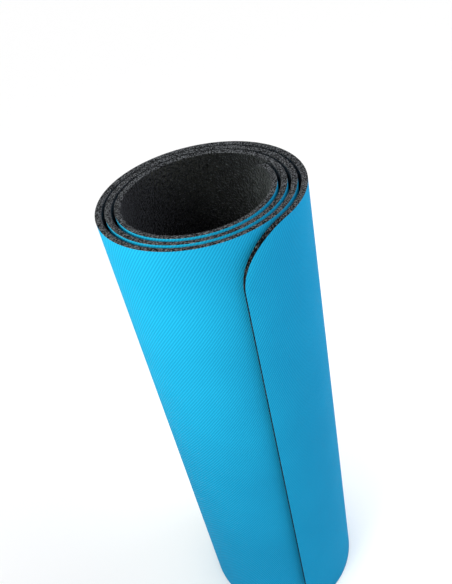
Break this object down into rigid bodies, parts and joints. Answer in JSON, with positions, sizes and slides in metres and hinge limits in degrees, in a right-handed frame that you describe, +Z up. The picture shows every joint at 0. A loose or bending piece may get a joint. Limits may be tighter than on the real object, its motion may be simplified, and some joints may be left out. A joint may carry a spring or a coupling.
{
  "type": "roll-up exercise mat",
  "caption": "Foam exercise mat with a woven face and a grained base, wound into a roll that stands on its end; its free end peels open.",
  "frame": {"origin": "centre of the roll's bounding box, on the surface that it stands on", "axes": "+Z up along the roll, -Y towards the side where the sheet's free edge shows, +X to the right of that side"},
  "size_m": [0.2012, 0.1984, 0.61],
  "materials": {
    "woven_face": "fine ribbed weave, satin",
    "foam_core": "matte cut foam",
    "grained_base": "embossed leather grain"
  },
  "bodies": {
    "roll": {"roll_face": "woven_face", "roll_core": "foam_core", "roll_base": "grained_base"},
    "flap_1": {"flap_1_face": "woven_face", "flap_1_core": "foam_core", "flap_1_base": "grained_base"},
    "flap_2": {"flap_2_face": "woven_face", "flap_2_core": "foam_core", "flap_2_base": "grained_base"},
    "flap_3": {"flap_3_face": "woven_face", "flap_3_core": "foam_core", "flap_3_base": "grained_base"},
    "flap_4": {"flap_4_face": "woven_face", "flap_4_core": "foam_core", "flap_4_base": "grained_base"}
  },
  "joints": [
    {"name": "peel_1", "type": "hinge", "parent": "roll", "child": "flap_1", "pos_m": [0.0521, 0.08375, 0], "axis": [0, 0, 1], "range_deg": [0, 30], "stiffness_Nm_per_rad": 0.15},
    {"name": "peel_2", "type": "hinge", "parent": "flap_1", "child": "flap_2", "pos_m": [0.08868, 0.04417, 0], "axis": [0, 0, 1], "range_deg": [0, 30], "stiffness_Nm_per_rad": 0.15},
    {"name": "peel_3", "type": "hinge", "parent": "flap_2", "child": "flap_3", "pos_m": [0.10057, -0.0084, 0], "axis": [0, 0, 1], "range_deg": [0, 30], "stiffness_Nm_per_rad": 0.15},
    {"name": "peel_4", "type": "hinge", "parent": "flap_3", "child": "flap_4", "pos_m": [0.08459, -0.05987, 0], "axis": [0, 0, 1], "range_deg": [0, 30], "stiffness_Nm_per_rad": 0.15}
  ],
  "couplings": [
    {"joint": "peel_2", "follows": "peel_1", "ratio": 1},
    {"joint": "peel_3", "follows": "peel_1", "ratio": 1},
    {"joint": "peel_4", "follows": "peel_1", "ratio": 1}
  ]
}
